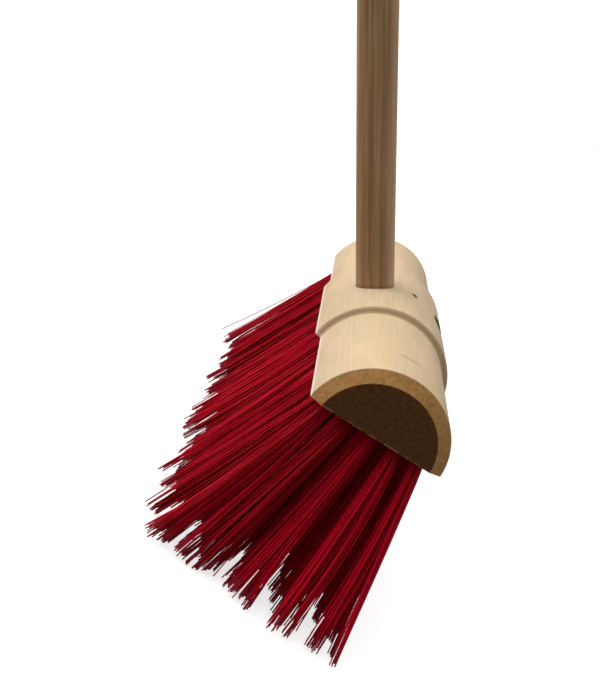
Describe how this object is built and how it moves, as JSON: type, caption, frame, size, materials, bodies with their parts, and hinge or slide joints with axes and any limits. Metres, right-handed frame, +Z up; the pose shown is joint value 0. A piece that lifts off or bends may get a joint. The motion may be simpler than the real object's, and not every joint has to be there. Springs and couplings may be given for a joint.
{
  "type": "push broom",
  "caption": "Half-round wooden broom head with splayed plastic bristle tufts, two slanting handle sockets and a long round wooden handle.",
  "frame": {"origin": "on the floor under the middle of the stock's length, midway across the patch of trimmed bristle ends", "axes": "+X along the stock, +Y the way the broom is pushed, +Z up; the handle leans back over -Y"},
  "size_m": [0.3872, 0.7497, 1.157],
  "materials": {
    "stock_wood": "pale unvarnished hardwood, turned and sanded",
    "handle_wood": "mid-brown straight-grained wood, smooth",
    "bristle_plastic": "crimson extruded plastic filament, satin",
    "anchor_wire": "flat steel wire"
  },
  "bodies": {
    "head": {"stock": "stock_wood", "anchors_row_1_left": "anchor_wire", "anchors_row_1_middle": "anchor_wire", "anchors_row_1_right": "anchor_wire", "anchors_row_2_left": "anchor_wire", "anchors_row_2_middle": "anchor_wire", "anchors_row_2_right": "anchor_wire", "anchors_row_3_left": "anchor_wire", "anchors_row_3_middle": "anchor_wire", "anchors_row_3_right": "anchor_wire", "anchors_row_4_left": "anchor_wire", "anchors_row_4_middle": "anchor_wire", "anchors_row_4_right": "anchor_wire", "anchors_row_5_left": "anchor_wire", "anchors_row_5_middle": "anchor_wire", "anchors_row_5_right": "anchor_wire"},
    "handle": {"handle": "handle_wood"},
    "bristle_row_1": {"tufts_row_1_left": "bristle_plastic", "tufts_row_1_middle": "bristle_plastic", "tufts_row_1_right": "bristle_plastic"},
    "bristle_row_2": {"tufts_row_2_left": "bristle_plastic", "tufts_row_2_middle": "bristle_plastic", "tufts_row_2_right": "bristle_plastic"},
    "bristle_row_3": {"tufts_row_3_left": "bristle_plastic", "tufts_row_3_middle": "bristle_plastic", "tufts_row_3_right": "bristle_plastic"},
    "bristle_row_4": {"tufts_row_4_left": "bristle_plastic", "tufts_row_4_middle": "bristle_plastic", "tufts_row_4_right": "bristle_plastic"},
    "bristle_row_5": {"tufts_row_5_left": "bristle_plastic", "tufts_row_5_middle": "bristle_plastic", "tufts_row_5_right": "bristle_plastic"}
  },
  "joints": [
    {"name": "handle_pull", "type": "slide", "parent": "head", "child": "handle", "axis": [0, -0.5534, 0.8329], "range_m": [0, 0.05]},
    {"name": "bend_row_1", "type": "hinge", "parent": "head", "child": "bristle_row_1", "pos_m": [0, -0.013, 0.118], "axis": [1, 0, 0], "range_deg": [-25, 12], "stiffness_Nm_per_rad": 2.1, "deforming": ["tufts_row_1_left", "tufts_row_1_middle", "tufts_row_1_right"]},
    {"name": "bend_row_2", "type": "hinge", "parent": "head", "child": "bristle_row_2", "pos_m": [0, 0.003, 0.118], "axis": [1, 0, 0], "range_deg": [-25, 12], "stiffness_Nm_per_rad": 2.1, "deforming": ["tufts_row_2_left", "tufts_row_2_middle", "tufts_row_2_right"]},
    {"name": "bend_row_3", "type": "hinge", "parent": "head", "child": "bristle_row_3", "pos_m": [0, 0.019, 0.118], "axis": [1, 0, 0], "range_deg": [-25, 12], "stiffness_Nm_per_rad": 2.1, "deforming": ["tufts_row_3_left", "tufts_row_3_middle", "tufts_row_3_right"]},
    {"name": "bend_row_4", "type": "hinge", "parent": "head", "child": "bristle_row_4", "pos_m": [0, 0.035, 0.118], "axis": [1, 0, 0], "range_deg": [-25, 12], "stiffness_Nm_per_rad": 2.1, "deforming": ["tufts_row_4_left", "tufts_row_4_middle", "tufts_row_4_right"]},
    {"name": "bend_row_5", "type": "hinge", "parent": "head", "child": "bristle_row_5", "pos_m": [0, 0.051, 0.118], "axis": [1, 0, 0], "range_deg": [-25, 12], "stiffness_Nm_per_rad": 2.1, "deforming": ["tufts_row_5_left", "tufts_row_5_middle", "tufts_row_5_right"]}
  ],
  "couplings": [
    {"joint": "bend_row_1", "follows": "bend_row_3", "ratio": 1},
    {"joint": "bend_row_2", "follows": "bend_row_3", "ratio": 1},
    {"joint": "bend_row_4", "follows": "bend_row_3", "ratio": 1},
    {"joint": "bend_row_5", "follows": "bend_row_3", "ratio": 1}
  ]
}
